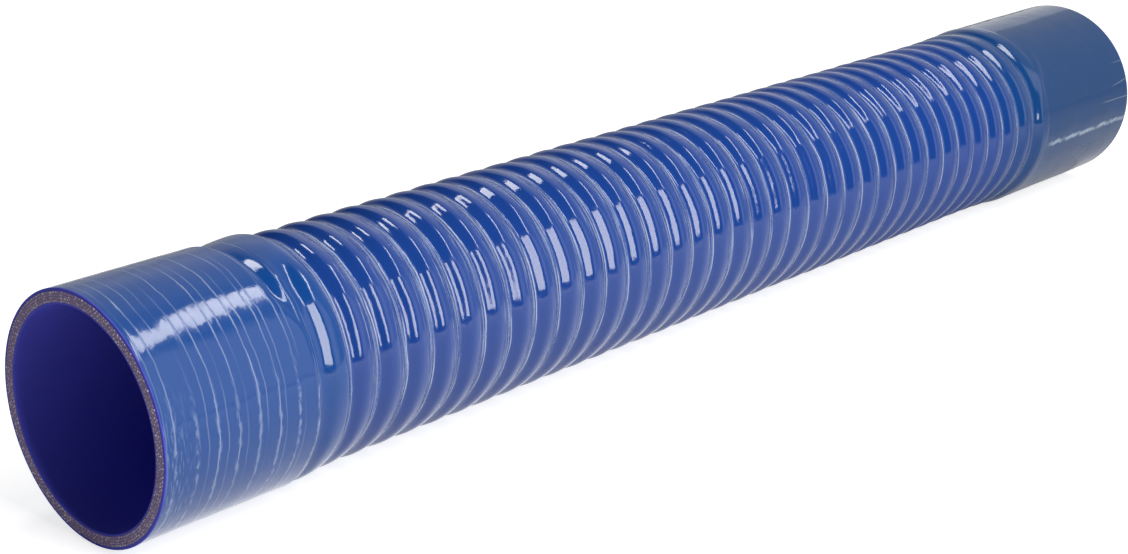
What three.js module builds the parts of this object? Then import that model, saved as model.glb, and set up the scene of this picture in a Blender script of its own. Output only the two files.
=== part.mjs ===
// Straight silicone hose with a spring-wire helix in its wall, lying on its side.
// Millimetres, +Z up. The hose axis runs along X with the near end at -X, and it lies on z = 0.

import * as THREE from 'three';

// Driving dimensions
const hoseLength = 555;
const bore = 70; // inside diameter, the same from end to end
const tubeWall = 1.9; // wall in the groove between two turns of wire
const ridgeHeight = 1.7; // how far a bare turn of wire lifts the cover

// The cover is wound on from the near end, so it climbs steeply to a turn of wire and leaves it
// gently. rounding is the share of a flank's length over which its slope starts or ends.
const nearFlank = { length: 4.7, rounding: 0.28 };
const farFlank = { length: 5.8, rounding: 0.2 };

// Two wraps of extra plies go over each end and make the cuffs. The plain part of a cuff is
// smooth. The outer wrap reaches a little past it, and the inner wrap covers one or two turns more.
const innerWrap = 1.4;
const outerWrap = 1.7;
const wrapEdge = 5; // length over which the edge of a wrap thins out
const nearCuff = { plain: 54, outerReach: 4, innerReach: 23 };
const farCuff = { plain: 65, outerReach: 3.5, innerReach: 31 };

// The wire is wound left-handed: seen from the side it climbs towards the near end.
const wirePitch = 11.7;
const firstCrest = 2.4; // from the plain part of the near cuff to the first crest, at the top
const wireStart = 40; // degrees round from the top, where the first turn begins
const wireEnd = 34; // degrees round from the top, where the last turn ends
const wireRunOut = 45; // degrees over which an end of the wire rises from the wall
const shownByInnerWrap = 0.65; // share of the ridge height that shows through the inner wrap
const shownByBothWraps = 0.2;

// Facets
const sides = 30; // even, so that a flat lies on the floor
const ridgeRows = [-1, -0.2, 0, 0.2, 1]; // rows of points over a ridge, in lengths of its flanks
const leastStep = 0.2; // a point that is nearer than this to a cuff's last ring falls on it

const boreRadius = bore / 2;
const grooveRadius = boreRadius + tubeWall;
const cuffRadius = grooveRadius + innerWrap + outerWrap;
const axisHeight = cuffRadius * Math.cos(Math.PI / sides);

// The ridged middle holds a whole number of turns, so the pitch is evened out over it.
const ridgedStart = nearCuff.plain;
const ridgedEnd = hoseLength - farCuff.plain;
const turns = Math.round((ridgedEnd - ridgedStart) / wirePitch);
const pitch = (ridgedEnd - ridgedStart) / turns;

const positions = [];
const triangles = [];

// A point on the wall, with s along the hose from the near end and side counted from the top
// round towards -Y.
function addPoint(s, side, radius) {
  const angle = (2 * Math.PI * (side + 0.5)) / sides;
  positions.push(s - hoseLength / 2, -radius * Math.sin(angle), axisHeight + radius * Math.cos(angle));
  return positions.length / 3 - 1;
}

function addRing(s, radius) {
  return Array.from({ length: sides }, (_, side) => addPoint(s, side, radius));
}

function distance(a, b) {
  const from = new THREE.Vector3().fromArray(positions, 3 * a);
  return from.distanceTo(new THREE.Vector3().fromArray(positions, 3 * b));
}

// Splits a quad along its shorter diagonal, and leaves out a triangle that has no area.
function addQuad(a, b, c, d) {
  const split = distance(a, c) <= distance(b, d) ? [[a, b, c], [a, c, d]] : [[a, b, d], [b, c, d]];
  for (const corners of split) {
    if (new Set(corners).size === 3) {
      triangles.push(...corners);
    }
  }
}

function bridgeRings(from, to) {
  for (let side = 0; side < sides; side += 1) {
    const next = (side + 1) % sides;
    addQuad(from[side], from[next], to[next], to[side]);
  }
}

// How much of a wrap covers the place s: 1 under the wrap, 0 past its edge.
function wrapCover(s, nearReach, farReach) {
  const pastNearEdge = s - (ridgedStart + nearReach);
  const pastFarEdge = ridgedEnd - farReach - s;
  const pastEdge = Math.min(pastNearEdge, pastFarEdge);
  return 1 - THREE.MathUtils.smoothstep(pastEdge, -wrapEdge / 2, wrapEdge / 2);
}

// The wire's ends rise and sink over a short run-out. wound counts turns along the wire.
function wireShown(wound) {
  const runOut = wireRunOut / 360;
  const sinceStart = wound + wireStart / 360;
  const untilEnd = turns - 1 - wireEnd / 360 - wound;
  return THREE.MathUtils.smoothstep(Math.min(sinceStart, untilEnd), -runOut / 2, runOut / 2);
}

function flankAt(row) {
  return row < 0 ? nearFlank : farFlank;
}

// Height over a flank, 1 at its crest and 0 at its foot, with a straight slope between two roundings.
function flankHeight(row) {
  const { rounding } = flankAt(row);
  const steepest = 1 / (1 - rounding);
  const fromEnd = Math.min(Math.abs(row), 1 - Math.abs(row));
  const drop = fromEnd < rounding ? (steepest * fromEnd ** 2) / (2 * rounding) : steepest * (fromEnd - rounding / 2);
  return Math.abs(row) < 0.5 ? 1 - drop : drop;
}

// Radius at the place s, on the given row of a ridge.
function ridgedRadius(s, row, wound) {
  const underInner = wrapCover(s, nearCuff.innerReach, farCuff.innerReach);
  const underOuter = wrapCover(s, nearCuff.outerReach, farCuff.outerReach);
  const shown = THREE.MathUtils.lerp(
    THREE.MathUtils.lerp(1, shownByInnerWrap, underInner),
    shownByBothWraps,
    underOuter,
  );
  const fromPlain = Math.min(s - ridgedStart, ridgedEnd - s);
  const rise = THREE.MathUtils.smoothstep(fromPlain, 0, wrapEdge);
  const ridge = ridgeHeight * shown * rise * flankHeight(row) * wireShown(wound);
  return grooveRadius + innerWrap * underInner + outerWrap * underOuter + ridge;
}

// Joins the two cuffs by rows that wind round the hose with the wire: two feet, two shoulders and
// a crest to a turn. Each row runs on into itself one turn later. Where a row would leave the
// ridged part, its points fall on the cuff's last ring.
function addRidgedPart(nearRing, farRing) {
  const points = new Map();

  function pointAt(turn, row, side) {
    if (row === ridgeRows.length) {
      return pointAt(turn + 1, 0, side);
    }
    if (side === sides) {
      return pointAt(turn - 1, row, 0);
    }
    const turned = turn - side / sides;
    const fromCrest = ridgeRows[row] * flankAt(ridgeRows[row]).length;
    const s = ridgedStart + firstCrest + fromCrest + pitch * turned;
    if (s < ridgedStart + leastStep) {
      return nearRing[side];
    }
    if (s > ridgedEnd - leastStep) {
      return farRing[side];
    }
    const key = `${turn},${row},${side}`;
    if (!points.has(key)) {
      const wound = turned - 0.5 / sides;
      points.set(key, addPoint(s, side, ridgedRadius(s, ridgeRows[row], wound)));
    }
    return points.get(key);
  }

  for (let turn = -1; turn <= turns + 1; turn += 1) {
    for (let row = 0; row < ridgeRows.length; row += 1) {
      for (let side = 0; side < sides; side += 1) {
        addQuad(
          pointAt(turn, row, side),
          pointAt(turn, row, side + 1),
          pointAt(turn, row + 1, side + 1),
          pointAt(turn, row + 1, side),
        );
      }
    }
  }
}

// The wall is one closed skin: the outside from the near end to the far end, the far cut face,
// the bore back to the near end, and the near cut face.
function makeHoseGeometry() {
  const nearOuter = addRing(0, cuffRadius);
  const nearCuffEnd = addRing(ridgedStart, cuffRadius);
  const farCuffEnd = addRing(ridgedEnd, cuffRadius);
  const farOuter = addRing(hoseLength, cuffRadius);
  const farBore = addRing(hoseLength, boreRadius);
  const nearBore = addRing(0, boreRadius);

  bridgeRings(nearOuter, nearCuffEnd);
  addRidgedPart(nearCuffEnd, farCuffEnd);
  bridgeRings(farCuffEnd, farOuter);
  bridgeRings(farOuter, farBore);
  bridgeRings(farBore, nearBore);
  bridgeRings(nearBore, nearOuter);

  const geometry = new THREE.BufferGeometry();
  geometry.setAttribute('position', new THREE.Float32BufferAttribute(positions, 3));
  geometry.setIndex(triangles);
  geometry.computeVertexNormals();
  return geometry;
}

const blueSilicone = new THREE.MeshStandardMaterial({ color: 0x1c48a8, roughness: 0.3, metalness: 0 });
const hose = new THREE.Mesh(makeHoseGeometry(), blueSilicone);
hose.name = 'hose';

const part = new THREE.Group();
part.add(hose);

export default part;
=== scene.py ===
import math

import bmesh
import bpy
from mathutils import Matrix, Vector


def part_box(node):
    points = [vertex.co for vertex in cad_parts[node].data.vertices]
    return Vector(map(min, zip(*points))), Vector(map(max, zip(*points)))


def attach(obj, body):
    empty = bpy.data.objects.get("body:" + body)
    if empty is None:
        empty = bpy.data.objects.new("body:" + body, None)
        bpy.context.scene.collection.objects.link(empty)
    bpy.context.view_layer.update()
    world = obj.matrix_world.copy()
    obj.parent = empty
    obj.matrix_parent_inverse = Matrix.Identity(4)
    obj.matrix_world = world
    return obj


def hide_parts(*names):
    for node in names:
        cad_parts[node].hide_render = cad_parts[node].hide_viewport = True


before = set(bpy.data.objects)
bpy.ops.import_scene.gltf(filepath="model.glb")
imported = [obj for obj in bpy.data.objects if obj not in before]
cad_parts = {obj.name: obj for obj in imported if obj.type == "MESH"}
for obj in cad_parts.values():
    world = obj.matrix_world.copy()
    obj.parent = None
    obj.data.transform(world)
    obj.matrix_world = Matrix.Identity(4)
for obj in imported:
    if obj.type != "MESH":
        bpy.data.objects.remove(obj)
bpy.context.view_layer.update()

mm = 0.001
degree = math.pi / 180


def linearColour(hexColour):
    # sRGB hex to the linear colour that a socket takes
    shades = [int(hexColour[i : i + 2], 16) / 255 for i in (1, 3, 5)]
    return (*[c / 12.92 if c <= 0.04045 else ((c + 0.055) / 1.055) ** 2.4 for c in shades], 1.0)


def addNode(tree, kind, settings=None, inputs=None):
    # a node, a socket or a plain value may go into each input
    node = tree.nodes.new(kind)
    for name, value in (settings or {}).items():
        setattr(node, name, value)
    for key, value in (inputs or {}).items():
        source = value.outputs[0] if isinstance(value, bpy.types.Node) else value
        if isinstance(source, bpy.types.NodeSocket):
            tree.links.new(source, node.inputs[key])
        else:
            node.inputs[key].default_value = source
    return node


def addSums(tree, known, sums):
    # a line is a name, a Math operation and its inputs, which may be names of earlier lines
    for name, operation, *values in sums:
        inputs = {i: known[v] if isinstance(v, str) else v for i, v in enumerate(values)}
        known[name] = addNode(tree, "ShaderNodeMath", {"operation": operation}, inputs)


def addPlace(tree, known, x, y, z=0.0):
    # a point from three values, which may be names of lines
    parts = {i: known[v] if isinstance(v, str) else v for i, v in enumerate((x, y, z))}
    return addNode(tree, "ShaderNodeCombineXYZ", None, parts)


# Camera: fitted to the near cut face and to both side edges of the hose
camera = {
    "place": (-0.5861, -0.4757, 0.2733),
    "right": (0.6773, -0.7357, 0.0),
    "forward": (0.6956, 0.6404, -0.3257),
    "lens": 64.98,
    "sensor": 36,
    "clipStart": 0.01,
}


def makeCamera():
    data = bpy.data.cameras.new("camera")
    data.sensor_width = camera["sensor"]
    data.sensor_fit = "HORIZONTAL"
    data.lens = camera["lens"]
    data.clip_start = camera["clipStart"]
    obj = bpy.data.objects.new("camera", data)
    forward = Vector(camera["forward"]).normalized()
    right = Vector(camera["right"])
    right = (right - forward * right.dot(forward)).normalized()
    turn = Matrix((right, right.cross(forward), -forward)).transposed()
    obj.matrix_world = Matrix.Translation(camera["place"]) @ turn.to_4x4()
    bpy.context.scene.collection.objects.link(obj)
    bpy.context.scene.camera = obj
    print("camera set")


# Hose: sizes in metres, the same wall as the frame's node
low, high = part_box("hose")
hose = {
    "length": high[0] - low[0],
    "cuffRadius": (high[1] - low[1]) / 2,
    "boreRadius": 35 * mm,
    "grooveRadius": 36.9 * mm,
    "innerWrap": 1.4 * mm,
    "outerWrap": 1.7 * mm,
    "wrapEdge": 5 * mm,
    "nearPlain": 54 * mm,
    "farPlain": 65 * mm,
    "nearOuterReach": 4 * mm,
    "nearInnerReach": 17 * mm,
    "farOuterReach": 10 * mm,
    "farInnerReach": 25 * mm,
    "ridgeHeight": 1.7 * mm,
    "nearFlank": 5.3 * mm,
    "farFlank": 5.8 * mm,
    "nearRounding": 0.37,
    "turns": 37,
    "firstCrest": 2.4 * mm,
    "cutEdge": 0.35 * mm,
    "flatSides": 30,
}
hose["axisHeight"] = hose["cuffRadius"] * math.cos(math.pi / hose["flatSides"])
hose["pitch"] = (hose["length"] - hose["nearPlain"] - hose["farPlain"]) / hose["turns"]
hose["grooveMiddle"] = (hose["farFlank"] + hose["pitch"] - hose["nearFlank"]) / 2

# How finely the wall is drawn. flankRows is the share of a turn's rows over one flank of its ridge.
wallGrid = {"rowsPerTurn": 18, "flankRows": 0.39, "sides": 112, "turnsBefore": 5, "turnsAfter": 44}
wallGrid["weld"] = 0.01 * mm
# The cover bridges from the wire towards the groove, so a far flank bends down slowly to a step.
farBend = {"drop": 0.76, "step": 0.8}
# How much of a ridge shows through the inner wrap and through both wraps
shownThrough = {"inner": 0.7, "both": 0.2}


def newTree(name, sizes):
    # sizes become the tree's named inputs
    tree = bpy.data.node_groups.new(name, "GeometryNodeTree")
    tree.interface.new_socket(name="Geometry", in_out="OUTPUT", socket_type="NodeSocketGeometry")
    for size, value in sizes.items():
        kind = "NodeSocketInt" if isinstance(value, int) else "NodeSocketFloat"
        socket = tree.interface.new_socket(name=size, in_out="INPUT", socket_type=kind)
        socket.default_value = value
    entry = tree.nodes.new("NodeGroupInput")
    known = {size: entry.outputs[size] for size in sizes}
    return tree, known


def meshFromTree(name, tree, sizes):
    obj = bpy.data.objects.new(name, bpy.data.meshes.new(name))
    bpy.context.scene.collection.objects.link(obj)
    modifier = obj.modifiers.new(name, "NODES")
    modifier.node_group = tree
    for item in tree.interface.items_tree:
        if item.in_out == "INPUT":
            modifier[item.identifier] = sizes[item.name]
    graph = bpy.context.evaluated_depsgraph_get()
    plain = bpy.data.meshes.new_from_object(obj.evaluated_get(graph), depsgraph=graph)
    obj.modifiers.remove(modifier)
    obj.data = plain
    plain.name = name
    return obj


def addRevolved(tree, known, along, radius, angle):
    # a point on the hose from its place along it, its radius and its angle from the top
    known.update({"atAlong": along, "atRadius": radius, "atAngle": angle})
    addSums(tree, known, [
        ("halfLength", "MULTIPLY", "length", 0.5),
        ("atX", "SUBTRACT", "atAlong", "halfLength"),
        ("sine", "SINE", "atAngle"),
        ("cosine", "COSINE", "atAngle"),
        ("across", "MULTIPLY", "atRadius", "sine"),
        ("atY", "MULTIPLY", "across", -1.0),
        ("rise", "MULTIPLY", "atRadius", "cosine"),
        ("atZ", "ADD", "rise", "axisHeight"),
    ])
    return addPlace(tree, known, "atX", "atY", "atZ")


def addSmoothStep(tree, value, start, end):
    # 0 before start, 1 after end
    inputs = {"Value": value, "From Min": start, "From Max": end}
    return addNode(tree, "ShaderNodeMapRange", {"interpolation_type": "SMOOTHSTEP"}, inputs)


def addStep(tree, known, name, value, start, end):
    known[name] = addSmoothStep(tree, known[value], start, end)


def addSpan(tree, value, edges):
    # rises from 0 to 1 between the first two edges, and falls again between the last two
    known = {"up": addSmoothStep(tree, value, float(edges[0]), float(edges[1]))}
    known["down"] = addSmoothStep(tree, value, float(edges[3]), float(edges[2]))
    addSums(tree, known, [("span", "MULTIPLY", "up", "down")])
    return known["span"].outputs[0]


# Plies are laid by hand, so the wall waves a little, more along the hose than across it. The knife
# cuts both ends true, and the waves reach their full size at calm from a cut.
handLaid = [
    {"size": 45 * mm, "detail": 1.0, "reach": (1.2 * mm, 0.5 * mm, 0.5 * mm), "seed": 3.0},
    {"size": 11 * mm, "detail": 2.0, "reach": (0.9 * mm, 0.32 * mm, 0.32 * mm), "seed": 8.0},
]
waveRoughness = 0.45
calm = 12 * mm


def addVectorMath(tree, operation, first, second, key=1):
    return addNode(tree, "ShaderNodeVectorMath", {"operation": operation}, {0: first, key: second})


def addHandLaidWaves(tree, known, geometry, waves):
    inputs = {
        "Vector": addNode(tree, "GeometryNodeInputPosition"),
        "W": waves["seed"],
        "Scale": 1 / waves["size"],
        "Detail": waves["detail"],
        "Roughness": waveRoughness,
    }
    noise = addNode(tree, "ShaderNodeTexNoise", {"noise_dimensions": "4D"}, inputs)
    offset = addVectorMath(tree, "SUBTRACT", noise.outputs["Color"], (0.5, 0.5, 0.5))
    offset = addVectorMath(tree, "MULTIPLY", offset, waves["reach"])
    stored = addNode(tree, "GeometryNodeInputNamedAttribute", {"data_type": "FLOAT"}, {"Name": "along"})
    known["storedAlong"] = stored.outputs["Attribute"]
    addSums(tree, known, [
        ("untilCut", "SUBTRACT", "length", "storedAlong"),
        ("fromCut", "MINIMUM", "storedAlong", "untilCut"),
    ])
    addStep(tree, known, "free", "fromCut", hose["cutEdge"], calm)
    offset = addVectorMath(tree, "SCALE", offset, known["free"], "Scale")
    return addNode(tree, "GeometryNodeSetPosition", None, {"Geometry": geometry, "Offset": offset})


# The outer wrap is cut askew, so its edge leans along the hose on the way round. angles are
# degrees from the top, and the wrap reaches furthest between the two in the middle.
nearLean = {"more": -5.5 * mm, "angles": (-130, -110, 36, 60), "edge": 2.2 * mm}
farLean = {"more": 3 * mm, "angles": (55, 85, 150, 320), "edge": 8 * mm, "innerEdge": 36 * mm}
# The near end of the wire lifts the plies like a tent, from the cuff to a crest that curves back to it
nearTent = {"height": 1.7 * mm, "crest": 69.1 * mm, "middle": -16.3, "curve": 0.0043 * mm}
nearTent.update({"after": 5 * mm, "least": 1 * mm, "fade": 12 * mm, "angles": (-100, -60, 60, 70)})
# The far end of the wire lifts a welt that veers off over the outer wrap
farWelt = {"place": 477 * mm, "more": 14 * mm, "height": 0.45 * mm, "half": 3.4 * mm}
farWelt.update({"leans": (28, 82, 150, 320), "angles": (34, 52, 100, 150)})
# Degrees round from the top, where the first turn of the wire starts and the last one ends, and the
# degrees over which an end of it rises from the wall
wire = {"start": 40, "end": -22, "runOut": 45}


def addOutside(tree, known):
    # rows follow the wire: rowTurn counts turns along the hose, and share is the way round from the top
    rows = (wallGrid["turnsBefore"] + wallGrid["turnsAfter"]) * wallGrid["rowsPerTurn"]
    inputs = {0: 1.0, 1: 1.0, 2: rows + 1, 3: wallGrid["sides"] + 1}
    grid = addNode(tree, "GeometryNodeMeshGrid", None, inputs)
    position = addNode(tree, "GeometryNodeInputPosition")
    place = addNode(tree, "ShaderNodeSeparateXYZ", None, {0: position})
    known["gridX"], known["gridY"] = place.outputs["X"], place.outputs["Y"]
    span = float(wallGrid["turnsBefore"] + wallGrid["turnsAfter"])
    addSums(tree, known, [
        ("share", "ADD", "gridY", 0.5),
        ("angle", "MULTIPLY", "share", 2 * math.pi),
        ("rowShare", "ADD", "gridX", 0.5),
        ("rowTurn", "MULTIPLY_ADD", "rowShare", span, -float(wallGrid["turnsBefore"])),
        ("turn", "ROUND", "rowTurn"),
        ("offTurn", "SUBTRACT", "rowTurn", "turn"),
        ("offSize", "ABSOLUTE", "offTurn"),
        ("offSign", "SIGN", "offTurn"),
        ("isFar", "GREATER_THAN", "offTurn", 0.0),
        ("isNear", "SUBTRACT", 1.0, "isFar"),
        ("flank", "MULTIPLY", "nearFlank", "isNear"),
        ("flank", "MULTIPLY_ADD", "farFlank", "isFar", "flank"),
        # most rows lie over the two flanks, and the rest on the floor of the groove
        ("flankStep", "DIVIDE", "flank", wallGrid["flankRows"]),
        ("overFlank", "MULTIPLY", "offSize", "flankStep"),
        ("bothFlanks", "ADD", "nearFlank", "farFlank"),
        ("floorWidth", "SUBTRACT", "pitch", "bothFlanks"),
        ("floorStep", "DIVIDE", "floorWidth", 1.0 - 2 * wallGrid["flankRows"]),
        ("pastFlank", "SUBTRACT", "offSize", wallGrid["flankRows"]),
        ("overFloor", "MULTIPLY_ADD", "pastFlank", "floorStep", "flank"),
        ("onFlank", "LESS_THAN", "pastFlank", 0.0),
        ("onFloor", "SUBTRACT", 1.0, "onFlank"),
        ("offCrest", "MULTIPLY", "overFlank", "onFlank"),
        ("offCrest", "MULTIPLY_ADD", "overFloor", "onFloor", "offCrest"),
        ("signedOff", "MULTIPLY", "offCrest", "offSign"),
        ("wound", "SUBTRACT", "turn", "share"),
        ("woundLength", "MULTIPLY", "wound", "pitch"),
        ("firstAt", "ADD", "nearPlain", "firstCrest"),
        ("crestAt", "ADD", "firstAt", "woundLength"),
        ("along", "ADD", "crestAt", "signedOff"),
        ("along", "MAXIMUM", "along", "cutEdge"),
        ("lastAlong", "SUBTRACT", "length", "cutEdge"),
        ("along", "MINIMUM", "along", "lastAlong"),
        # degrees from the top, with the camera's side positive
        ("degrees", "MULTIPLY", "share", 360.0),
        ("fullDegrees", "WRAP", "degrees", 360.0, 0.0),
        ("degrees", "WRAP", "degrees", 180.0, -180.0),
    ])
    known["nearLean"] = addSpan(tree, known["degrees"], nearLean["angles"])
    known["farLean"] = addSpan(tree, known["fullDegrees"], farLean["angles"])
    known["weltLean"] = addSpan(tree, known["fullDegrees"], farWelt["leans"])
    addSums(tree, known, [
        # edges of the wraps
        ("halfEdge", "MULTIPLY", "wrapEdge", 0.5),
        ("ridgedEnd", "SUBTRACT", "length", "farPlain"),
        ("fromNear", "SUBTRACT", "along", "nearPlain"),
        ("fromFar", "SUBTRACT", "ridgedEnd", "along"),
        ("pastNearInner", "SUBTRACT", "fromNear", "nearInnerReach"),
        ("pastFarInner", "SUBTRACT", "fromFar", "farInnerReach"),
        ("nearReach", "MULTIPLY_ADD", "nearLean", nearLean["more"], "nearOuterReach"),
        ("farReach", "MULTIPLY_ADD", "farLean", farLean["more"], "farOuterReach"),
        ("pastNearOuter", "SUBTRACT", "fromNear", "nearReach"),
        ("pastFarOuter", "SUBTRACT", "fromFar", "farReach"),
        ("fromPlain", "MINIMUM", "fromNear", "fromFar"),
        ("edgeStart", "MULTIPLY", "halfEdge", -1.0),
        # the wire's ends
        ("sinceStart", "ADD", "wound", wire["start"] / 360),
        ("untilEnd", "SUBTRACT", hose["turns"] - 1 - wire["end"] / 360, "wound"),
        ("fromWireEnd", "MINIMUM", "sinceStart", "untilEnd"),
    ])
    half = farLean["innerEdge"] / 2
    addStep(tree, known, "nearInner", "pastNearInner", known["edgeStart"], known["halfEdge"])
    addStep(tree, known, "farInner", "pastFarInner", -half, half)
    half = nearLean["edge"] / 2
    addStep(tree, known, "nearOuter", "pastNearOuter", -half, half)
    half = farLean["edge"] / 2
    addStep(tree, known, "farOuter", "pastFarOuter", -half, half)
    addStep(tree, known, "rise", "fromPlain", 0.0, known["wrapEdge"])
    half = wire["runOut"] / 360 / 2
    addStep(tree, known, "wireShown", "fromWireEnd", -half, half)
    addSums(tree, known, [
        ("bareInner", "MULTIPLY", "nearInner", "farInner"),
        ("bareOuter", "MULTIPLY", "nearOuter", "farOuter"),
        # height over a near flank, 1 at its crest: a straight slope between two roundings
        ("flankShare", "DIVIDE", "offCrest", "flank"),
        ("flankShare", "MINIMUM", "flankShare", 1.0),
        ("toFoot", "SUBTRACT", 1.0, "flankShare"),
        ("fromEnd", "MINIMUM", "flankShare", "toFoot"),
        ("steepest", "SUBTRACT", 1.0, "nearRounding"),
        ("steepest", "DIVIDE", 1.0, "steepest"),
        ("halfRounding", "MULTIPLY", "nearRounding", 0.5),
        ("straight", "SUBTRACT", "fromEnd", "halfRounding"),
        ("square", "MULTIPLY", "fromEnd", "fromEnd"),
        ("curved", "DIVIDE", "square", "nearRounding"),
        ("curved", "MULTIPLY", "curved", 0.5),
        ("isCurved", "LESS_THAN", "fromEnd", "nearRounding"),
        ("isStraight", "SUBTRACT", 1.0, "isCurved"),
        ("drop", "MULTIPLY", "curved", "isCurved"),
        ("drop", "MULTIPLY_ADD", "straight", "isStraight", "drop"),
        ("drop", "MULTIPLY", "drop", "steepest"),
        ("section", "SUBTRACT", 1.0, "drop"),
        ("isHigh", "LESS_THAN", "flankShare", 0.5),
        ("isLow", "SUBTRACT", 1.0, "isHigh"),
        ("section", "MULTIPLY", "section", "isHigh"),
        ("section", "MULTIPLY_ADD", "drop", "isLow", "section"),
    ])
    addStep(tree, known, "step", "flankShare", 1.0, farBend["step"])
    addSums(tree, known, [
        # height over a far flank
        ("bend", "MULTIPLY", "flankShare", "flankShare"),
        ("bend", "MULTIPLY_ADD", "bend", -farBend["drop"], 1.0),
        ("bend", "MULTIPLY", "bend", "step"),
        ("bend", "MULTIPLY", "bend", "isFar"),
        ("section", "MULTIPLY_ADD", "section", "isNear", "bend"),
        # what the wraps leave to be seen of it
        ("shown", "MULTIPLY_ADD", "bareInner", 1.0 - shownThrough["inner"], shownThrough["inner"]),
        ("shown", "SUBTRACT", "shown", shownThrough["both"]),
        ("shown", "MULTIPLY_ADD", "shown", "bareOuter", shownThrough["both"]),
        ("ridge", "MULTIPLY", "ridgeHeight", "section"),
        ("ridge", "MULTIPLY", "ridge", "shown"),
        ("ridge", "MULTIPLY", "ridge", "rise"),
        ("ridge", "MULTIPLY", "ridge", "wireShown"),
        ("covered", "SUBTRACT", 1.0, "bareInner"),
        ("wrapped", "MULTIPLY", "innerWrap", "covered"),
        ("coveredOuter", "SUBTRACT", 1.0, "bareOuter"),
        ("wrappedOuter", "MULTIPLY", "outerWrap", "coveredOuter"),
        ("radius", "ADD", "grooveRadius", "wrapped"),
        ("radius", "ADD", "radius", "wrappedOuter"),
        # what the wire's ends lift
        ("fromMiddle", "SUBTRACT", "degrees", nearTent["middle"]),
        ("fromMiddle", "MULTIPLY", "fromMiddle", "fromMiddle"),
        ("tentLength", "MULTIPLY", "fromMiddle", -nearTent["curve"]),
        ("tentLength", "ADD", "tentLength", nearTent["crest"]),
        ("pastCrest", "SUBTRACT", "along", "tentLength"),
        ("tentLength", "SUBTRACT", "tentLength", "nearPlain"),
        ("tentLength", "MAXIMUM", "tentLength", nearTent["least"]),
        ("toCrest", "DIVIDE", "fromNear", "tentLength"),
        ("toCrest", "MINIMUM", "toCrest", 1.0),
        ("toCrest", "MAXIMUM", "toCrest", 0.0),
        ("toCrest", "SUBTRACT", 1.0, "toCrest"),
        ("climb", "MULTIPLY", "toCrest", "toCrest"),
        ("climb", "SUBTRACT", 1.0, "climb"),
        ("weltLine", "MULTIPLY_ADD", "weltLean", -farWelt["more"], farWelt["place"] + farWelt["more"]),
        ("offWelt", "SUBTRACT", "along", "weltLine"),
        ("offWelt", "ABSOLUTE", "offWelt"),
    ])
    known["tentRound"] = addSpan(tree, known["degrees"], nearTent["angles"])
    addStep(tree, known, "tentFall", "pastCrest", nearTent["after"], 0.0)
    addStep(tree, known, "tentFade", "tentLength", nearTent["least"], nearTent["fade"])
    addStep(tree, known, "welt", "offWelt", farWelt["half"], 0.0)
    known["weltRound"] = addSpan(tree, known["degrees"], farWelt["angles"])
    addSums(tree, known, [
        # the ridge doesn't show through the tent
        ("tent", "MULTIPLY", "tentRound", "tentFall"),
        ("tent", "MULTIPLY", "tent", "tentFade"),
        ("noTent", "SUBTRACT", 1.0, "tent"),
        ("radius", "MULTIPLY_ADD", "ridge", "noTent", "radius"),
        ("tent", "MULTIPLY", "tent", "climb"),
        ("radius", "MULTIPLY_ADD", "tent", nearTent["height"], "radius"),
        ("welt", "MULTIPLY", "welt", "weltRound"),
        ("radius", "MULTIPLY_ADD", "welt", farWelt["height"], "radius"),
    ])
    shape = addRevolved(tree, known, known["along"], known["radius"], known["angle"])
    stored = grid
    for name, value in (("along", "along"), ("open", "bareInner")):
        inputs = {"Geometry": stored, "Name": name, "Value": known[value]}
        settings = {"data_type": "FLOAT", "domain": "POINT"}
        stored = addNode(tree, "GeometryNodeStoreNamedAttribute", settings, inputs)
    wall = addNode(tree, "GeometryNodeSetPosition", None, {"Geometry": stored, "Position": shape})
    inputs = {"Geometry": wall, "Distance": wallGrid["weld"]}
    return addNode(tree, "GeometryNodeMergeByDistance", None, inputs)


def makeHoseOutside(cover):
    sizes = {name: value for name, value in hose.items() if isinstance(value, float)}
    tree, known = newTree("windWall", sizes)
    wall = addOutside(tree, known)
    for waves in handLaid:
        wall = addHandLaidWaves(tree, known, wall, waves)
    # where the hose lies on the floor, its weight makes a narrow flat
    position = addNode(tree, "GeometryNodeInputPosition")
    place = addNode(tree, "ShaderNodeSeparateXYZ", None, {0: position})
    known["z"] = place.outputs["Z"]
    addSums(tree, known, [("z", "MAXIMUM", "z", 0.0)])
    flat = addPlace(tree, known, place.outputs["X"], place.outputs["Y"], "z")
    wall = addNode(tree, "GeometryNodeSetPosition", None, {"Geometry": wall, "Position": flat})
    wall = addNode(tree, "GeometryNodeSetShadeSmooth", None, {"Geometry": wall})
    wall = addNode(tree, "GeometryNodeRealizeInstances", None, {"Geometry": wall})
    wall = addNode(tree, "GeometryNodeSetMaterial", None, {"Geometry": wall, "Material": cover})
    addNode(tree, "NodeGroupOutput", None, {0: wall})
    return meshFromTree("hoseWall", tree, sizes)


cutFace = {"rounding": hose["cutEdge"], "roundingSteps": 3, "faceSteps": 5, "rimReach": 2 * mm}


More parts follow.
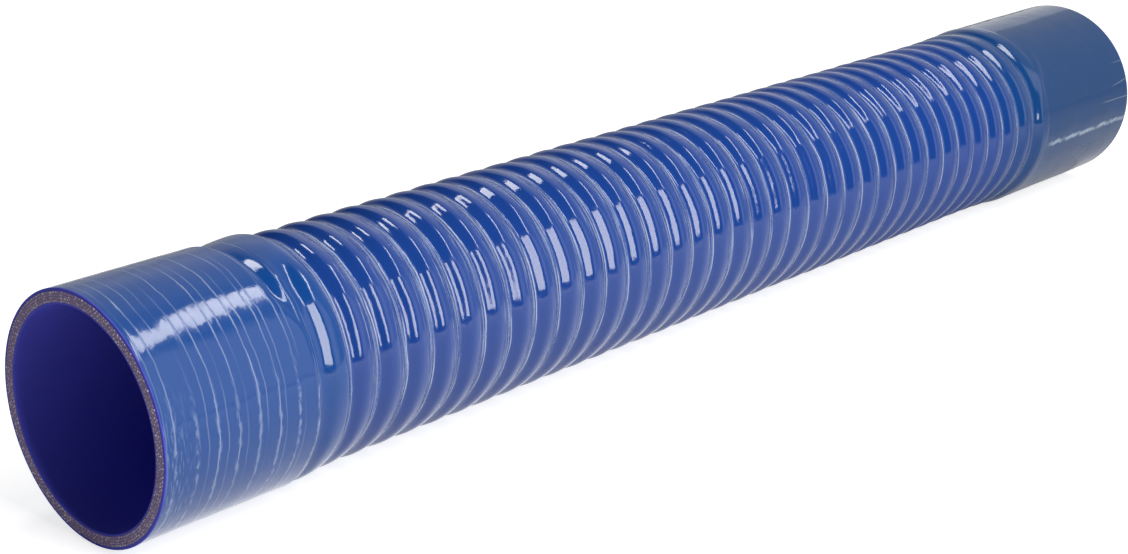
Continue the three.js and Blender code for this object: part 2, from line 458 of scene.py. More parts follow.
def closeEnds(obj, material):
    # each open rim is drawn in over the cut face, and the two inner rims are joined by the bore
    mesh = obj.data
    slot = len(mesh.materials)
    mesh.materials.append(material)
    bm = bmesh.new()
    bm.from_mesh(mesh)
    along = bm.verts.layers.float["along"]
    innerRims = []
    for end, direction in ((0.0, -1.0), (hose["length"], 1.0)):
        rim = [e for e in bm.edges if e.is_boundary and abs(e.verts[0][along] - end) < cutFace["rimReach"]]
        rounding = cutFace["rounding"]
        inner = hose["boreRadius"] + rounding
        outer = hose["cuffRadius"] - rounding
        shares = [(i + 1) / cutFace["faceSteps"] for i in range(cutFace["faceSteps"])]
        turns = [90 * degree * (i + 1) / cutFace["roundingSteps"] for i in range(cutFace["roundingSteps"])]
        steps = [(1 - math.sin(turn), outer + rounding * math.cos(turn)) for turn in turns]
        steps += [(0, outer + (inner - outer) * share) for share in shares]
        steps += [(1 - math.cos(turn), inner - rounding * math.sin(turn)) for turn in turns]
        for setBack, radius in steps:
            place = end - direction * rounding * setBack
            made = bmesh.ops.extrude_edge_only(bm, edges=rim)["geom"]
            for face in (f for f in made if isinstance(f, bmesh.types.BMFace)):
                face.material_index = slot
                face.smooth = True
            for vert in (v for v in made if isinstance(v, bmesh.types.BMVert)):
                across = Vector((0, vert.co.y, vert.co.z - hose["axisHeight"])).normalized() * radius
                vert.co = (place - hose["length"] / 2, across.y, hose["axisHeight"] + across.z)
                vert[along] = place
            rim = [e for e in made if isinstance(e, bmesh.types.BMEdge) and e.is_boundary]
        innerRims.append(rim)
    tube = bmesh.ops.bridge_loops(bm, edges=innerRims[0] + innerRims[1])
    for face in tube["faces"]:
        face.material_index = slot
        face.smooth = True
    bmesh.ops.recalc_face_normals(bm, faces=bm.faces)
    bm.to_mesh(mesh)
    bm.free()
    print("ends and bore closed:", len(mesh.polygons), "faces")


# Finishes
cover = {
    "ridged": "#1B408B",
    "cuff": "#14468C",
    "farCuff": "#133F71",
    "frost": "#5F76A8",
    "fibre": "#C4CDE0",
    # the dark lines and streaks take this painted shade colour
    "shadow": "#17367A",
    "roughness": 0.09,
    "frostRoughness": 0.42,
    "bandMiddle": -0.4 * mm,
    "bandHalf": 1.25 * mm,
    "bandEdge": 0.45 * mm,
    "relief": 0.25 * mm,
    "mottle": 10 * mm,
    "far": (430 * mm, 500 * mm),
    "ior": 1.43,
}
# How far each pattern stands out of the cover, as a share of its relief
reliefs = {"pale": 0.6, "dark": -0.6, "frost": 0.4, "lines": 0.35, "mottle": 0.7}
# The frosted band in a groove: its waver, its pale patches, and the weave of the cord in it. The far
# flank is made slightly paler and rougher too.
frost = {"long": 9 * mm, "wide": 4 * mm, "waver": 1.4 * mm, "least": 0.3, "patch": 0.35}
frost.update({"weaveLong": 1.2 * mm, "weaveWide": 0.6 * mm, "weaveLeast": 0.6, "weave": 0.8})
frost.update({"patches": (0.3, 0.62), "threads": (0.36, 0.64)})
frost.update({"haze": 0.1, "hazeZone": (-5.8 * mm, -4.8 * mm, -0.2 * mm, 0.6 * mm)})
# Lines in the frosted grooves, pale fibres that the wrapping cord left and dark gaps of painted shade
# between them: where each runs, and how far it wanders
fibres = {"wander": 1.5 * mm, "wave": 17 * mm, "run": 26 * mm, "fade": (0.38, 0.56)}
fibres["apart"] = 3.0
# Finer streaks beside them, from the crest's far side to the foot of the next ridge: pale ones, and dark
# ones of painted shade
streaks = {"long": 16 * mm, "wide": 0.45 * mm, "pale": 0.45, "dark": 0.5}
streaks["zone"] = (-4.8 * mm, -3.0 * mm, 0.5 * mm, 1.3 * mm)
streaks.update({"paleFrom": (0.53, 0.68), "darkFrom": (0.46, 0.32)})
paleFibres = [
    {"off": 0.6 * mm, "width": 0.34 * mm, "strength": 0.7, "seed": 1.0},
    {"off": -1.2 * mm, "width": 0.3 * mm, "strength": 0.5, "seed": 4.0},
    {"off": -0.3 * mm, "width": 0.24 * mm, "strength": 0.5, "seed": 7.0},
]
# dark gaps between the fibres: sunk a little, and coloured with painted shade
shadedFibreGaps = [
    {"off": 0.1 * mm, "width": 0.3 * mm, "strength": 0.85, "seed": 2.5},
    {"off": -1.8 * mm, "width": 0.28 * mm, "strength": 0.65, "seed": 5.5},
]
# Edges of the tape on the near cuff, smudged on its lower half
tape = {"line": "#A9B9D6", "width": 0.36 * mm, "wave": 1.5 * mm, "run": 40 * mm, "runs": (0.34, 0.64)}
tape.update({"waveArc": 11 * mm, "waveAlong": 30 * mm, "smudgeArc": 4 * mm, "smudgeAlong": 1.6 * mm})
tape.update({"ends": (62 * mm, 57 * mm), "lowSide": (55.0, 90.0), "smudged": (0.42, 0.62), "apart": 3.7})
tape.update({"smudgeWidth": 3 * tape["width"], "roughness": 0.2})
tapeEdges = [
    {"step": 7.6 * mm, "phase": 0.746, "strength": 0.52, "smudge": 0.45, "seed": 3.0},
    {"step": 7.25 * mm, "phase": 0.339, "strength": 0.26, "smudge": 0.0, "seed": 6.0},
]
scuffs = {"colour": "#8EA6CC", "from": 4 * mm, "to": 14 * mm, "long": 5 * mm, "wide": 0.7 * mm}
scuffs.update({"strength": 0.3, "worn": (0.52, 0.66)})
farSeam = {"line": "#A3B3C4", "angle": 100.0, "from": 481 * mm, "fade": 8 * mm, "wave": 6.5 * mm}
farSeam.update({"step": 9 * mm, "width": 1.6 * mm, "breaks": (0.36, 0.6), "least": 0.25, "more": 0.6})
farSeam["roughness"] = 0.6
scratchWidth = 0.4 * mm
scratchFade = 10 * mm
rimScratches = [
    {"angle": 84.5, "from": 528 * mm, "lean": -0.02, "strength": 0.38},
    {"angle": 76.5, "from": 538 * mm, "lean": 0.12, "strength": 0.35},
    {"angle": 61.0, "from": 543 * mm, "lean": 0.0, "strength": 0.3},
    {"angle": 101.5, "from": 533 * mm, "lean": 0.06, "strength": 0.3},
]


def makeMaterial(name):
    material = bpy.data.materials.new(name)
    material.use_nodes = True
    tree = material.node_tree
    tree.nodes.clear()
    return material, tree


def addMix(tree, factor, first, second):
    # a blend of two colours
    return addNode(tree, "ShaderNodeMix", {"data_type": "RGBA"}, {0: factor, 6: first, 7: second}).outputs[2]


def addGrain(tree, vector, detail, roughness=0.5, scale=1.0):
    inputs = {"Vector": vector, "Scale": scale, "Detail": detail, "Roughness": roughness}
    return addNode(tree, "ShaderNodeTexNoise", None, inputs)


# The patterns are cut from the same noise, each at a place of its own
seeds = {"slow": 4.0, "weave": 6.0, "streaks": 9.0, "wave": 0.0, "smudges": 3.0, "scuffed": 5.0}
seeds.update({"seamWave": 2.0, "seamBreaks": 8.0})


def addPattern(tree, known, name, x, y, detail, roughness=0.5):
    known[name] = addGrain(tree, addPlace(tree, known, x, y, seeds[name]), detail, roughness)


def addHoseCoordinates(tree):
    # where a point of the surface lies: along the hose, round it, and off the middle of its groove
    known = {"along": addNode(tree, "ShaderNodeAttribute", {"attribute_name": "along"}).outputs["Fac"]}
    known["open"] = addNode(tree, "ShaderNodeAttribute", {"attribute_name": "open"}).outputs["Fac"]
    place = addNode(tree, "ShaderNodeTexCoord").outputs["Object"]
    split = addNode(tree, "ShaderNodeSeparateXYZ", None, {0: place})
    known["object"], known["y"], known["z"] = place, split.outputs["Y"], split.outputs["Z"]
    addSums(tree, known, [
        ("rise", "SUBTRACT", "z", hose["axisHeight"]),
        ("across", "MULTIPLY", "y", -1.0),
        ("angle", "ARCTAN2", "across", "rise"),
        ("share", "DIVIDE", "angle", 2 * math.pi),
        ("degrees", "MULTIPLY", "share", 360.0),
        ("arc", "MULTIPLY", "angle", hose["cuffRadius"]),
        ("wound", "SUBTRACT", "along", hose["nearPlain"] + hose["firstCrest"] + hose["grooveMiddle"]),
        ("wound", "DIVIDE", "wound", hose["pitch"]),
        ("wound", "ADD", "wound", "share"),
        ("groove", "ROUND", "wound"),
        ("offGroove", "SUBTRACT", "wound", "groove"),
        ("offGroove", "MULTIPLY", "offGroove", hose["pitch"]),
        ("grooveArc", "SUBTRACT", "groove", "share"),
        ("grooveArc", "MULTIPLY", "grooveArc", 2 * math.pi * hose["grooveRadius"]),
    ])
    return known


def addLine(tree, known, distance, width):
    # 1 on the middle quarter of a line, 0 away from it
    return addSmoothStep(tree, known[distance], width, width / 4)


def addFibre(tree, known, fibre):
    # one long fibre that wanders over its groove and fades in and out
    known["wander"] = addGrain(tree, addPlace(tree, known, "wanderArc", 0.0, fibre["seed"]), 2.0)
    known["fade"] = addGrain(tree, addPlace(tree, known, "runArc", fibres["apart"], fibre["seed"]), 1.0)
    addStep(tree, known, "fade", "fade", *fibres["fade"])
    addSums(tree, known, [
        ("wander", "SUBTRACT", "wander", 0.5),
        ("offFibre", "MULTIPLY_ADD", "wander", fibres["wander"], "offGroove"),
        ("offFibre", "SUBTRACT", "offFibre", fibre["off"]),
        ("offFibre", "ABSOLUTE", "offFibre"),
    ])
    known["fibre"] = addLine(tree, known, "offFibre", fibre["width"])
    addSums(tree, known, [
        ("fibre", "MULTIPLY", "fibre", "fade"),
        ("fibre", "MULTIPLY", "fibre", fibre["strength"]),
    ])
    return known["fibre"]


def addFrost(tree, known):
    # the band that the wrapping cord pressed into each groove, with its fibres
    addSums(tree, known, [
        ("slowArc", "DIVIDE", "grooveArc", frost["long"]),
        ("wideOff", "DIVIDE", "offGroove", frost["wide"]),
        ("streakArc", "DIVIDE", "grooveArc", streaks["long"]),
        ("streakOff", "DIVIDE", "offGroove", streaks["wide"]),
        ("weaveArc", "DIVIDE", "grooveArc", frost["weaveLong"]),
        ("weaveOff", "DIVIDE", "offGroove", frost["weaveWide"]),
        ("wanderArc", "DIVIDE", "grooveArc", fibres["wave"]),
        ("runArc", "DIVIDE", "grooveArc", fibres["run"]),
    ])
    addPattern(tree, known, "slow", "slowArc", "wideOff", 2.0)
    addSums(tree, known, [
        ("waver", "SUBTRACT", "slow", 0.5),
        ("waver", "MULTIPLY", "waver", frost["waver"]),
        ("offBand", "SUBTRACT", "offGroove", cover["bandMiddle"]),
        ("offBand", "ADD", "offBand", "waver"),
        ("offBand", "ABSOLUTE", "offBand"),
    ])
    outer, inner = cover["bandHalf"] + cover["bandEdge"], cover["bandHalf"] - cover["bandEdge"]
    addStep(tree, known, "band", "offBand", outer, inner)
    addStep(tree, known, "patch", "slow", *frost["patches"])
    addPattern(tree, known, "weave", "weaveArc", "weaveOff", 1.0)
    addStep(tree, known, "weave", "weave", *frost["threads"])
    addPattern(tree, known, "streaks", "streakArc", "streakOff", 2.0)
    known["streakZone"] = addSpan(tree, known["offGroove"], streaks["zone"])
    # pale streaks, and dark ones of painted shade
    addStep(tree, known, "pale", "streaks", *streaks["paleFrom"])
    addStep(tree, known, "dark", "streaks", *streaks["darkFrom"])
    known["haze"] = addSpan(tree, known["offGroove"], frost["hazeZone"])
    addSums(tree, known, [
        ("haze", "MULTIPLY", "haze", "open"),
        ("band", "MULTIPLY", "band", "open"),
        ("frost", "MULTIPLY_ADD", "patch", frost["patch"], frost["least"]),
        ("weave", "MULTIPLY_ADD", "weave", frost["weave"], frost["weaveLeast"]),
        ("frost", "MULTIPLY", "frost", "weave"),
        ("frost", "MULTIPLY", "frost", "band"),
        ("frost", "MULTIPLY_ADD", "haze", frost["haze"], "frost"),
        ("pale", "MULTIPLY", "pale", "streakZone"),
        ("pale", "MULTIPLY", "pale", streaks["pale"]),
        ("dark", "MULTIPLY", "dark", "streakZone"),
        ("dark", "MULTIPLY", "dark", streaks["dark"]),
    ])
    # pale fibres, then the dark gaps between them with painted shade
    for sort, group in (("pale", paleFibres), ("dark", shadedFibreGaps)):
        for fibre in group:
            known["oneFibre"] = addFibre(tree, known, fibre)
            addSums(tree, known, [(sort, "MAXIMUM", sort, "oneFibre")])
        addSums(tree, known, [(sort, "MULTIPLY", sort, "open")])


def addTapeLines(tree, known):
    addSums(tree, known, [
        ("waveArc", "DIVIDE", "arc", tape["waveArc"]),
        ("waveAlong", "DIVIDE", "along", tape["waveAlong"]),
        ("runArc", "DIVIDE", "arc", tape["run"]),
        ("smudgeArc", "DIVIDE", "arc", tape["smudgeArc"]),
        ("smudgeAlong", "DIVIDE", "along", tape["smudgeAlong"]),
    ])
    known["lines"] = 0.0
    addStep(tree, known, "nearShare", "along", *tape["ends"])
    addStep(tree, known, "lowSide", "degrees", *tape["lowSide"])
    addPattern(tree, known, "wave", "waveArc", "waveAlong", 3.0)
    addPattern(tree, known, "smudges", "smudgeArc", "smudgeAlong", 2.0)
    addStep(tree, known, "smudged", "smudges", *tape["smudged"])
    for edge in tapeEdges:
        addSums(tree, known, [
            ("shift", "SUBTRACT", "wave", 0.5),
            ("shifted", "MULTIPLY_ADD", "shift", tape["wave"], "along"),
            ("tapeTurn", "DIVIDE", "shifted", edge["step"]),
            ("tapeTurn", "ADD", "tapeTurn", "share"),
            ("tapeTurn", "SUBTRACT", "tapeTurn", edge["phase"]),
            ("whole", "ROUND", "tapeTurn"),
            ("offLine", "SUBTRACT", "tapeTurn", "whole"),
            ("offLine", "ABSOLUTE", "offLine"),
            ("offLine", "MULTIPLY", "offLine", edge["step"]),
            ("wholePlace", "MULTIPLY", "whole", tape["apart"]),
        ])
        known["run"] = addGrain(tree, addPlace(tree, known, "runArc", "wholePlace", edge["seed"]), 2.0)
        addStep(tree, known, "run", "run", *tape["runs"])
        known["line"] = addLine(tree, known, "offLine", tape["width"])
        addStep(tree, known, "wide", "offLine", tape["smudgeWidth"], 0.0)
        addSums(tree, known, [
            ("line", "MULTIPLY", "line", "run"),
            ("line", "MULTIPLY", "line", edge["strength"]),
            ("wide", "MULTIPLY", "wide", "smudged"),
            ("wide", "MULTIPLY", "wide", "lowSide"),
            ("wide", "MULTIPLY", "wide", edge["smudge"]),
            ("lines", "MAXIMUM", "lines", "line"),
            ("lines", "MAXIMUM", "lines", "wide"),
        ])
    addSums(tree, known, [("lines", "MULTIPLY", "lines", "nearShare")])


def addHandlingMarks(tree, known):
    # fine scuffs by the near rim, an open seam along the far cuff, and scratches at the far rim
    addSums(tree, known, [
        ("scuffArc", "DIVIDE", "arc", scuffs["long"]),
        ("scuffAlong", "DIVIDE", "along", scuffs["wide"]),
        ("seamAlong", "DIVIDE", "along", farSeam["step"]),
    ])
    addPattern(tree, known, "scuffed", "scuffArc", "scuffAlong", 2.0)
    addStep(tree, known, "scuffed", "scuffed", *scuffs["worn"])
    addStep(tree, known, "rimShare", "along", scuffs["to"], scuffs["from"])
    addPattern(tree, known, "seamWave", "seamAlong", 0.0, 3.0, farSeam["roughness"])
    addPattern(tree, known, "seamBreaks", "seamAlong", "smudgeArc", 2.0)
    addStep(tree, known, "seamBreaks", "seamBreaks", *farSeam["breaks"])
    seamFull = farSeam["from"] + farSeam["fade"]
    addStep(tree, known, "seamShare", "along", farSeam["from"], seamFull)
    addSums(tree, known, [
        ("scuff", "MULTIPLY", "rimShare", "scuffed"),
        ("scuff", "MULTIPLY", "scuff", "lowSide"),
        ("scuff", "MULTIPLY", "scuff", scuffs["strength"]),
        ("seamWave", "SUBTRACT", "seamWave", 0.5),
        ("seamArc", "MULTIPLY_ADD", "seamWave", farSeam["wave"], "arc"),
        ("seamOff", "SUBTRACT", "seamArc", farSeam["angle"] * degree * hose["cuffRadius"]),
        ("seamOff", "ABSOLUTE", "seamOff"),
    ])
    addStep(tree, known, "seam", "seamOff", farSeam["width"], 0.0)
    addSums(tree, known, [
        ("seamBreaks", "MULTIPLY_ADD", "seamBreaks", farSeam["more"], farSeam["least"]),
        ("seam", "MULTIPLY", "seam", "seamShare"),
        ("seam", "MULTIPLY", "seam", "seamBreaks"),
    ])
    for scratch in rimScratches:
        addSums(tree, known, [
            ("scratchAlong", "SUBTRACT", "along", scratch["from"]),
            ("scratchArc", "MULTIPLY_ADD", "scratchAlong", scratch["lean"], "arc"),
            ("scratchOff", "SUBTRACT", "scratchArc", scratch["angle"] * degree * hose["cuffRadius"]),
            ("scratchOff", "ABSOLUTE", "scratchOff"),
        ])
        addStep(tree, known, "scratchShare", "scratchAlong", 0.0, scratchFade)
        addStep(tree, known, "scratch", "scratchOff", scratchWidth, 0.0)
        addSums(tree, known, [
            ("scratch", "MULTIPLY", "scratch", "scratchShare"),
            ("scratch", "MULTIPLY", "scratch", scratch["strength"]),
            ("seam", "MAXIMUM", "seam", "scratch"),
        ])


def makeSiliconeCover():
    # silicone rubber, cured under a tight tape wrap: glossy over the wire, and frosted in the grooves
    # by the cord that pressed the cover down there
    material, tree = makeMaterial("siliconeCover")
    known = addHoseCoordinates(tree)
    addFrost(tree, known)
    addTapeLines(tree, known)
    addHandlingMarks(tree, known)
    known["mottle"] = addGrain(tree, known["object"], 3.0, scale=1 / cover["mottle"])
    addStep(tree, known, "farShare", "along", *cover["far"])
    layers = {
        "open": cover["ridged"],
        "farShare": cover["farCuff"],
        "frost": cover["frost"],
        "pale": cover["fibre"],
        # painted shade in the dark gaps and streaks
        "dark": cover["shadow"],
        "scuff": scuffs["colour"],
        "lines": tape["line"],
        "seam": farSeam["line"],
    }
    colour = linearColour(cover["cuff"])
    for share, hexColour in layers.items():
        colour = addMix(tree, known[share], colour, linearColour(hexColour))
    addSums(tree, known, [
        ("roughness", "MULTIPLY_ADD", "frost", cover["frostRoughness"], cover["roughness"]),
        ("roughness", "MULTIPLY_ADD", "lines", tape["roughness"], "roughness"),
    ])
    known["relief"] = 0.0
    for pattern, height in reliefs.items():
        addSums(tree, known, [("relief", "MULTIPLY_ADD", pattern, height, "relief")])
    bump = addNode(tree, "ShaderNodeBump", None, {"Height": known["relief"], "Distance": cover["relief"]})
    shader = addNode(tree, "ShaderNodeBsdfPrincipled", None, {
        "Base Color": colour,
        "Roughness": known["roughness"],
        "IOR": cover["ior"],
        "Normal": bump,
    })
    addNode(tree, "ShaderNodeOutputMaterial", None, {"Surface": shader})
    return material


plies = {"silicone": "#5A5CD8", "cloth": "#A898C0", "resin": "#6A5E98", "rings": 4}
plies.update({"coverDepth": 1.0 * mm, "linerDepth": 0.7 * mm, "blend": 0.15 * mm})
plies.update({"grain": 0.7 * mm, "relief": 0.15 * mm, "roughness": 0.75, "ior": 1.43, "specular": 0.2})


def makeCutPlies():
    # woven polyester plies in silicone, cut with a knife: dull, with the cloth in fine rings. Bare
    # silicone shows outside the cloth, and inside it, where the same dull liner runs on as the bore.
    material, tree = makeMaterial("cutPlies")
    place = addNode(tree, "ShaderNodeTexCoord").outputs["Object"]
    split = addNode(tree, "ShaderNodeSeparateXYZ", None, {0: place})
    known = {"y": split.outputs["Y"], "z": split.outputs["Z"]}
    clothOuter = hose["cuffRadius"] - plies["coverDepth"]
    clothInner = hose["boreRadius"] + plies["linerDepth"]
    addSums(tree, known, [
        ("rise", "SUBTRACT", "z", hose["axisHeight"]),
        ("ySquare", "MULTIPLY", "y", "y"),
        ("square", "MULTIPLY_ADD", "rise", "rise", "ySquare"),
        ("radius", "SQRT", "square"),
        ("depth", "SUBTRACT", "radius", clothInner),
        ("ringShare", "DIVIDE", "depth", (clothOuter - clothInner) / plies["rings"]),
        ("ring", "MULTIPLY", "ringShare", 2 * math.pi),
        ("ring", "COSINE", "ring"),
        ("ring", "MULTIPLY_ADD", "ring", 0.5, 0.5),
    ])
    blend = plies["blend"]
    edges = (clothInner - blend, clothInner + blend, clothOuter - blend, clothOuter + blend)
    known["cloth"] = addSpan(tree, known["radius"], edges)
    known["grain"] = addGrain(tree, place, 2.0, scale=1 / plies["grain"])
    addSums(tree, known, [("ring", "MULTIPLY", "ring", "grain")])
    woven = addMix(tree, known["ring"], linearColour(plies["cloth"]), linearColour(plies["resin"]))
    colour = addMix(tree, known["cloth"], linearColour(plies["silicone"]), woven)
    bump = addNode(tree, "ShaderNodeBump", None, {"Height": known["grain"], "Distance": plies["relief"]})
    shader = addNode(tree, "ShaderNodeBsdfPrincipled", None, {
        "Base Color": colour,
        "Roughness": plies["roughness"],
        "IOR": plies["ior"],
        "Specular IOR Level": plies["specular"],
        "Normal": bump,
    })
    addNode(tree, "ShaderNodeOutputMaterial", None, {"Surface": shader})
    return material


# Yarn ends stand in one ring to a ply. The middle of a bead lies below the cut face by sunk times its
# size, less what it stands proud.
yarns = {"rings": plies["rings"], "count": 168, "size": 0.4 * mm, "proud": 0.09 * mm, "sunk": 0.45}
yarns.update({"innerGap": 0.45 * mm, "gaps": 0.8 * mm, "loose": (-0.5, 0.5), "looseShare": 0.5})
yarns.update({"depth": (-0.14 * mm, 0.14 * mm), "grow": (0.65, 1.15), "subdivisions": 1})
yarns.update({"pale": "#F2E8F2", "dim": "#B096B4", "patch": 1.3 * mm, "patches": (0.35, 0.65)})
yarns["roughness"] = 0.85


def makeYarnMaterial():
    # polyester yarn ends, cut and slightly frayed, so they are dull
    material, tree = makeMaterial("yarnEnd")
    place = addNode(tree, "ShaderNodeTexCoord").outputs["Object"]
    grain = addGrain(tree, place, 1.0, scale=1 / yarns["patch"])
    patches = addSmoothStep(tree, grain, *yarns["patches"])
    colour = addMix(tree, patches, linearColour(yarns["dim"]), linearColour(yarns["pale"]))
    inputs = {"Base Color": colour, "Roughness": yarns["roughness"]}
    shader = addNode(tree, "ShaderNodeBsdfPrincipled", None, inputs)
    addNode(tree, "ShaderNodeOutputMaterial", None, {"Surface": shader})
    return material


def makeYarnEnds(name, faceAlong, direction, material):
    # rings of yarn ends, a small bead to each, with the rings half a step apart
    clothDepth = hose["cuffRadius"] - hose["boreRadius"] - plies["coverDepth"] - plies["linerDepth"]
    outOfFace = yarns["proud"] - yarns["size"] * yarns["sunk"]
    sizes = {
        "faceAt": faceAlong - hose["length"] / 2 + direction * outOfFace,
        "innerRing": hose["boreRadius"] + plies["linerDepth"] + yarns["innerGap"],
        "ringStep": (clothDepth - yarns["gaps"]) / (yarns["rings"] - 1),
        "axisHeight": hose["axisHeight"],
        "yarnSize": yarns["size"],
        "rings": yarns["rings"],
        "count": yarns["count"],
    }
    tree, known = newTree(name, sizes)
    addSums(tree, known, [("all", "MULTIPLY", "rings", "count")])
    points = addNode(tree, "GeometryNodePoints", None, {"Count": known["all"]})
    known["index"] = addNode(tree, "GeometryNodeInputIndex")
    for draw, seed in (("loose", 5), ("depth", 6), ("grow", 7)):
        least, most = yarns[draw]
        inputs = {2: least, 3: most, "Seed": seed}
        value = addNode(tree, "FunctionNodeRandomValue", {"data_type": "FLOAT"}, inputs)
        known[draw] = value.outputs[1]
    addSums(tree, known, [
        ("ring", "DIVIDE", "index", "count"),
        ("ring", "FLOOR", "ring"),
        ("inRing", "MULTIPLY", "ring", "count"),
        ("inRing", "SUBTRACT", "index", "inRing"),
        ("inRing", "MULTIPLY_ADD", "ring", 0.5, "inRing"),
        ("inRing", "MULTIPLY_ADD", "loose", yarns["looseShare"], "inRing"),
        ("angle", "DIVIDE", "inRing", "count"),
        ("angle", "MULTIPLY", "angle", 2 * math.pi),
        ("radius", "MULTIPLY_ADD", "ring", "ringStep", "innerRing"),
        ("radius", "ADD", "radius", "depth"),
        ("sine", "SINE", "angle"),
        ("cosine", "COSINE", "angle"),
        ("y", "MULTIPLY", "radius", "sine"),
        ("z", "MULTIPLY_ADD", "radius", "cosine", "axisHeight"),
    ])
    place = addPlace(tree, known, "faceAt", "y", "z")
    points = addNode(tree, "GeometryNodeSetPosition", None, {"Geometry": points, "Position": place})
    inputs = {"Radius": known["yarnSize"], "Subdivisions": yarns["subdivisions"]}
    bead = addNode(tree, "GeometryNodeMeshIcoSphere", None, inputs)
    inputs = {"Points": points, "Instance": bead, "Scale": known["grow"]}
    beads = addNode(tree, "GeometryNodeInstanceOnPoints", None, inputs)
    wall = addNode(tree, "GeometryNodeRealizeInstances", None, {"Geometry": beads})
    wall = addNode(tree, "GeometryNodeSetShadeSmooth", None, {"Geometry": wall})
    wall = addNode(tree, "GeometryNodeSetMaterial", None, {"Geometry": wall, "Material": material})
    addNode(tree, "NodeGroupOutput", None, {0: wall})
    return meshFromTree(name, tree, sizes)


# Studio: lamps are placed where the photo's highlights say that they stood
lamps = {
    "tallSide": {
        "place": (-0.17, -1.0, 0.62),
        "target": (-0.1, 0.0, 0.04),
        "size": (0.3, 1.1),
        "power": 13.3,
    },
    "top": {
        "place": (0.0, 0.36, 1.0),
        "target": (-0.05, 0.0, 0.04),
        "size": (0.17, 0.27),
        "power": 1.9,
    },
    "front": {
        "place": (0.33, -0.32, 1.0),
        "target": (0.334, -0.31, 0.0),
        "size": (0.14, 0.69),
        "power": 3.9,
    },
}


def makeLamps():
    for name, lamp in lamps.items():
        data = bpy.data.lights.new(name, "AREA")
        data.shape = "RECTANGLE"
        data.size, data.size_y = lamp["size"]
        data.energy = lamp["power"]
        obj = bpy.data.objects.new(name, data)
        obj.location = lamp["place"]
        aim = Vector(lamp["target"]) - Vector(lamp["place"])
        obj.rotation_euler = aim.to_track_quat("-Z", "Y").to_euler()
        obj.visible_camera = False
        bpy.context.scene.collection.objects.link(obj)
    print("lamps set:", ", ".join(lamps))


studio = {"fill": 0.09, "open": 0.5, "bright": 1.2, "backdrop": 0.33, "ceiling": 0.28}
# Where each light area of the room fades in and out: an axis, with the parts of a unit direction
# along it at which the area is bare and full
roomEdges = {
    "open": ("x", 0.25, 0.5),
    "side": ("y", -0.38, -0.5),
    "sideEnd": ("x", 0.78, 0.66),
    "backdrop": ("y", 0.375, 0.4),
    "backdropStart": ("x", 0.65, 0.8),
    "ceiling": ("z", 0.2, 0.45),
    "ceilingSide": ("y", 0.0, 0.3),
    "ceilingEnd": ("x", 0.845, 0.78),
}


def makeWorld():
    # white to the camera; a reflection finds a pale room past the far end, brighter on the lamps'
    # side, and darkness over and behind the camera
    world = bpy.data.worlds.new("studio")
    world.use_nodes = True
    tree = world.node_tree
    tree.nodes.clear()
    path = addNode(tree, "ShaderNodeLightPath")
    place = addNode(tree, "ShaderNodeTexCoord")
    split = addNode(tree, "ShaderNodeSeparateXYZ", None, {0: place.outputs["Generated"]})
    known = {"camera": path.outputs["Is Camera Ray"], "glossy": path.outputs["Is Glossy Ray"]}
    known["x"], known["y"], known["z"] = (split.outputs[axis] for axis in "XYZ")
    for area, (axis, bare, full) in roomEdges.items():
        known[area] = addSmoothStep(tree, known[axis], bare, full)
    addSums(tree, known, [
        ("ceiling", "MULTIPLY", "ceiling", "ceilingSide"),
        ("ceiling", "MULTIPLY", "ceiling", "ceilingEnd"),
        ("side", "MULTIPLY", "side", "sideEnd"),
        ("backdrop", "MULTIPLY", "backdrop", "backdropStart"),
        ("room", "MULTIPLY_ADD", "side", studio["bright"], studio["open"]),
        ("room", "MULTIPLY_ADD", "backdrop", studio["backdrop"], "room"),
        ("room", "MULTIPLY_ADD", "ceiling", studio["ceiling"], "room"),
        ("room", "MULTIPLY", "room", "open"),
        ("fillShare", "SUBTRACT", 1.0, "glossy"),
        ("fill", "MULTIPLY", "fillShare", studio["fill"]),
        ("strength", "MULTIPLY_ADD", "room", "glossy", "fill"),
        ("strength", "MULTIPLY_ADD", "camera", 1.0, "strength"),
        ("strength", "MULTIPLY_ADD", "camera", -studio["fill"], "strength"),
    ])
    inputs = {"Color": (1, 1, 1, 1), "Strength": known["strength"]}
    background = addNode(tree, "ShaderNodeBackground", None, inputs)
    addNode(tree, "ShaderNodeOutputWorld", None, {"Surface": background})
    bpy.context.scene.world = world


# White paper under the hose, with how strongly the gloss of the cover mirrors each area of it
paper = {"colour": "#D8D8D8", "seen": 0.75, "size": 6.0, "drop": 0.5 * mm}
paper.update({"mirroredNear": 0.85, "mirroredFar": 0.17, "mirroredAway": 0.25})
paper.update({"far": (-0.1, 0.2), "beside": (-0.11, -0.075), "away": (-0.2, -0.6)})


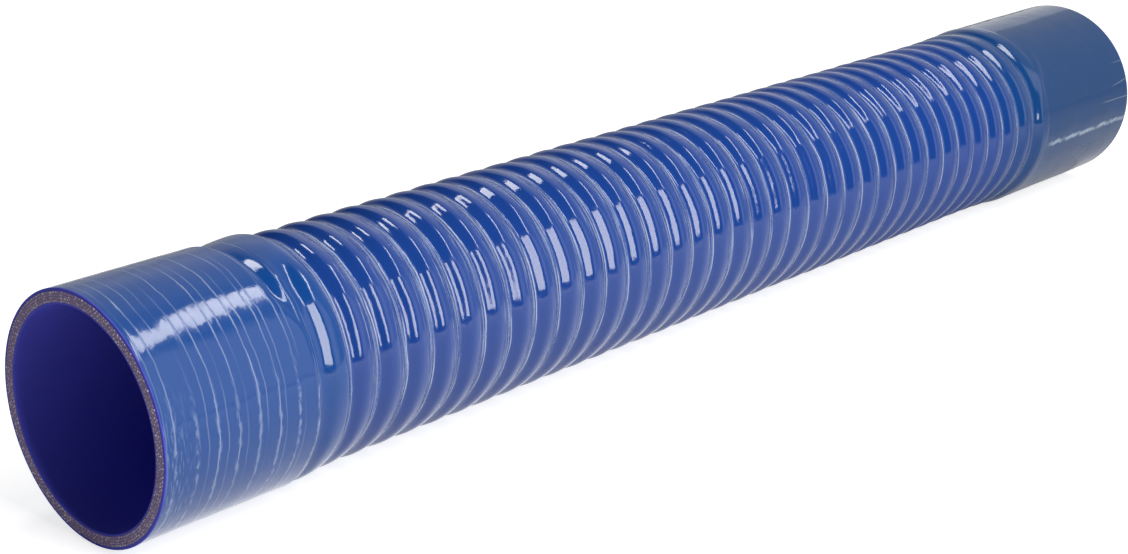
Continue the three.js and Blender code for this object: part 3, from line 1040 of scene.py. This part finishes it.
def makeFloor():
    half = paper["size"] / 2
    mesh = bpy.data.meshes.new("floor")
    corners = [(-half, -half), (half, -half), (half, half), (-half, half)]
    mesh.from_pydata([(*corner, -paper["drop"]) for corner in corners], [], [(0, 1, 2, 3)])
    floor = bpy.data.objects.new("floor", mesh)
    bpy.context.scene.collection.objects.link(floor)
    material, tree = makeMaterial("whitePaper")
    path = addNode(tree, "ShaderNodeLightPath")
    diffuse = addNode(tree, "ShaderNodeBsdfDiffuse", None, {"Color": linearColour(paper["colour"])})
    place = addNode(tree, "ShaderNodeTexCoord").outputs["Object"]
    split = addNode(tree, "ShaderNodeSeparateXYZ", None, {0: place})
    known = {"camera": path.outputs["Is Camera Ray"], "glossy": path.outputs["Is Glossy Ray"]}
    known["x"], known["y"] = split.outputs["X"], split.outputs["Y"]
    addSums(tree, known, [("corner", "ADD", "x", "y")])
    addStep(tree, known, "far", "corner", *paper["far"])
    addStep(tree, known, "beside", "y", *paper["beside"])
    addStep(tree, known, "away", "y", *paper["away"])
    addSums(tree, known, [
        ("mirrored", "MULTIPLY", "beside", paper["mirroredFar"]),
        ("mirrored", "MULTIPLY_ADD", "away", paper["mirroredAway"], "mirrored"),
        ("mirrored", "MULTIPLY", "mirrored", "far"),
        ("near", "SUBTRACT", 1.0, "far"),
        ("mirrored", "MULTIPLY_ADD", "near", paper["mirroredNear"], "mirrored"),
        ("mirrored", "MULTIPLY", "mirrored", "glossy"),
        ("lift", "MULTIPLY_ADD", "camera", paper["seen"], "mirrored"),
    ])
    lift = addNode(tree, "ShaderNodeEmission", None, {"Color": (1, 1, 1, 1), "Strength": known["lift"]})
    both = addNode(tree, "ShaderNodeAddShader", None, {0: diffuse, 1: lift})
    addNode(tree, "ShaderNodeOutputMaterial", None, {"Surface": both})
    mesh.materials.append(material)
    print("floor and world set")


makeCamera()
hoseWall = makeHoseOutside(makeSiliconeCover())
closeEnds(hoseWall, makeCutPlies())
yarnMaterial = makeYarnMaterial()
nearYarns = makeYarnEnds("nearYarnEnds", 0.0, -1.0, yarnMaterial)
farYarns = makeYarnEnds("farYarnEnds", hose["length"], 1.0, yarnMaterial)
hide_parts("hose")
for piece in (hoseWall, nearYarns, farYarns):
    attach(piece, "root")
    print(piece.name, "triangles:", sum(len(p.vertices) - 2 for p in piece.data.polygons))
makeLamps()
makeWorld()
makeFloor()

bpy.context.scene.view_settings.view_transform = "Standard"
